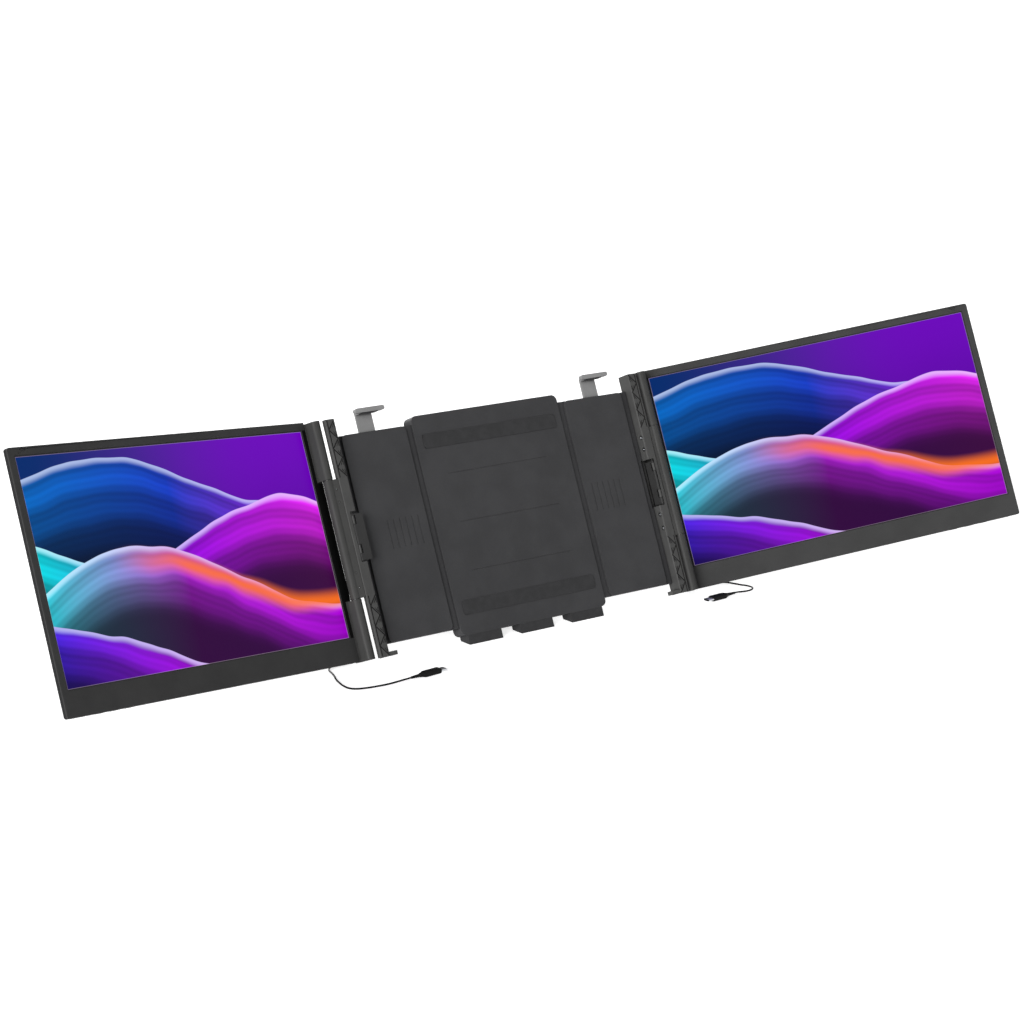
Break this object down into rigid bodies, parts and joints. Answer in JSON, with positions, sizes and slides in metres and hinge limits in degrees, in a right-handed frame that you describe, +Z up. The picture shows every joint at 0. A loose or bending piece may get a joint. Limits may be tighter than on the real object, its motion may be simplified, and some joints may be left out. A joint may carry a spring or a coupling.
{
  "type": "laptop screen extender",
  "caption": "Two hinged side screens on a telescoping frame that grips a laptop lid, with clips, kickstand and cords.",
  "frame": {"origin": "centre of the foot pads' level face, on the frame's middle plane", "axes": "+X across the frame towards the right wing, +Y to the back, +Z up from the desk"},
  "size_m": [1.1019, 0.2391, 0.2688],
  "materials": {
    "shell_dark": "fine matt moulding texture",
    "shell_grey": "fine matt moulding texture",
    "clip_grey": "satin",
    "lattice_grey": "matt with an engraved lattice",
    "rubber": "matt",
    "steel": "brushed",
    "aluminium": "anodised",
    "screen": "lit panel behind a smooth polariser",
    "diffuser": "white",
    "board": "solder mask",
    "ribbon": "polyimide film",
    "nylon": "natural",
    "button": "satin",
    "cord": "matt jacket"
  },
  "bodies": {
    "frame": {"centre_back_shell": "shell_dark", "centre_front_plate": "shell_dark", "lid_pads": "rubber", "centre_screws": "steel", "guide_rails": "steel", "kickstand_pin": "steel", "foot_pads": "rubber"},
    "kickstand": {"kickstand_leg": "aluminium", "kickstand_foot": "rubber"},
    "arm_left": {"rail_bushes_left": "nylon", "arm_frame_left": "shell_dark", "arm_cover_left": "shell_dark", "column_left": "lattice_grey", "hinge_block_left": "shell_grey", "hinge_pins_left": "steel", "hinge_washers_left": "steel", "column_screws_left": "steel"},
    "side_clip_left": {"side_clip_left": "clip_grey"},
    "top_clip_left": {"top_clip_left": "clip_grey", "top_clip_pad_left": "rubber"},
    "wing_left": {"rear_cover_left": "shell_dark", "front_bezel_left": "shell_dark", "display_panel_left": "screen", "backlight_left": "diffuser", "main_board_left": "board", "port_sockets_left": "steel", "flex_cable_left": "ribbon", "hinge_leaves_left": "shell_grey", "cover_screws_left": "steel", "cord_left": "cord", "cord_plugs_left": "cord"},
    "button_power_left": {"button_power_left": "button"},
    "button_plus_left": {"button_plus_left": "button"},
    "button_minus_left": {"button_minus_left": "button"},
    "arm_right": {"rail_bushes_right": "nylon", "arm_frame_right": "shell_dark", "arm_cover_right": "shell_dark", "column_right": "lattice_grey", "hinge_block_right": "shell_grey", "hinge_pins_right": "steel", "hinge_washers_right": "steel", "column_screws_right": "steel"},
    "side_clip_right": {"side_clip_right": "clip_grey"},
    "top_clip_right": {"top_clip_right": "clip_grey", "top_clip_pad_right": "rubber"},
    "wing_right": {"rear_cover_right": "shell_dark", "front_bezel_right": "shell_dark", "display_panel_right": "screen", "backlight_right": "diffuser", "main_board_right": "board", "port_sockets_right": "steel", "flex_cable_right": "ribbon", "hinge_leaves_right": "shell_grey", "cover_screws_right": "steel", "cord_right": "cord", "cord_plugs_right": "cord"},
    "button_power_right": {"button_power_right": "button"},
    "button_plus_right": {"button_plus_right": "button"},
    "button_minus_right": {"button_minus_right": "button"}
  },
  "joints": [
    {"name": "kickstand_fold", "type": "hinge", "parent": "frame", "child": "kickstand", "pos_m": [0, 0.06883, 0.13563], "axis": [1, 0, 0], "range_deg": [-40, 35]},
    {"name": "arm_left_slide", "type": "slide", "parent": "frame", "child": "arm_left", "axis": [-1, 0, 0], "range_m": [-0.005, 0.022]},
    {"name": "wing_left_fold", "type": "hinge", "parent": "arm_left", "child": "wing_left", "pos_m": [-0.1953, 0.03562, 0.11062], "axis": [0, 0.3907, 0.9205], "range_deg": [-16.8, 163.2]},
    {"name": "side_clip_left_swing", "type": "hinge", "parent": "arm_left", "child": "side_clip_left", "pos_m": [-0.182, 0.02991, 0.11304], "axis": [0, 0.3907, 0.9205], "range_deg": [0, 90]},
    {"name": "top_clip_left_slide", "type": "slide", "parent": "arm_left", "child": "top_clip_left", "axis": [0, 0.3907, 0.9205], "range_m": [-0.008, 0.014]},
    {"name": "button_power_left_press", "type": "slide", "parent": "wing_left", "child": "button_power_left", "axis": [0, 0.3907, 0.9205], "range_m": [0, 0.0004], "stiffness_N_per_m": 400},
    {"name": "button_plus_left_press", "type": "slide", "parent": "wing_left", "child": "button_plus_left", "axis": [0, 0.3907, 0.9205], "range_m": [0, 0.0004], "stiffness_N_per_m": 400},
    {"name": "button_minus_left_press", "type": "slide", "parent": "wing_left", "child": "button_minus_left", "axis": [0, 0.3907, 0.9205], "range_m": [0, 0.0004], "stiffness_N_per_m": 400},
    {"name": "arm_right_slide", "type": "slide", "parent": "frame", "child": "arm_right", "axis": [1, 0, 0], "range_m": [-0.005, 0.022]},
    {"name": "wing_right_fold", "type": "hinge", "parent": "arm_right", "child": "wing_right", "pos_m": [0.1953, 0.0312, 0.11249], "axis": [0, -0.3907, -0.9205], "range_deg": [-21.9, 158.1]},
    {"name": "side_clip_right_swing", "type": "hinge", "parent": "arm_right", "child": "side_clip_right", "pos_m": [0.182, 0.02991, 0.11304], "axis": [0, 0.3907, 0.9205], "range_deg": [0, 90]},
    {"name": "top_clip_right_slide", "type": "slide", "parent": "arm_right", "child": "top_clip_right", "axis": [0, 0.3907, 0.9205], "range_m": [-0.008, 0.014]},
    {"name": "button_power_right_press", "type": "slide", "parent": "wing_right", "child": "button_power_right", "axis": [0, 0.3907, 0.9205], "range_m": [0, 0.0004], "stiffness_N_per_m": 400},
    {"name": "button_plus_right_press", "type": "slide", "parent": "wing_right", "child": "button_plus_right", "axis": [0, 0.3907, 0.9205], "range_m": [0, 0.0004], "stiffness_N_per_m": 400},
    {"name": "button_minus_right_press", "type": "slide", "parent": "wing_right", "child": "button_minus_right", "axis": [0, 0.3907, 0.9205], "range_m": [0, 0.0004], "stiffness_N_per_m": 400}
  ]
}
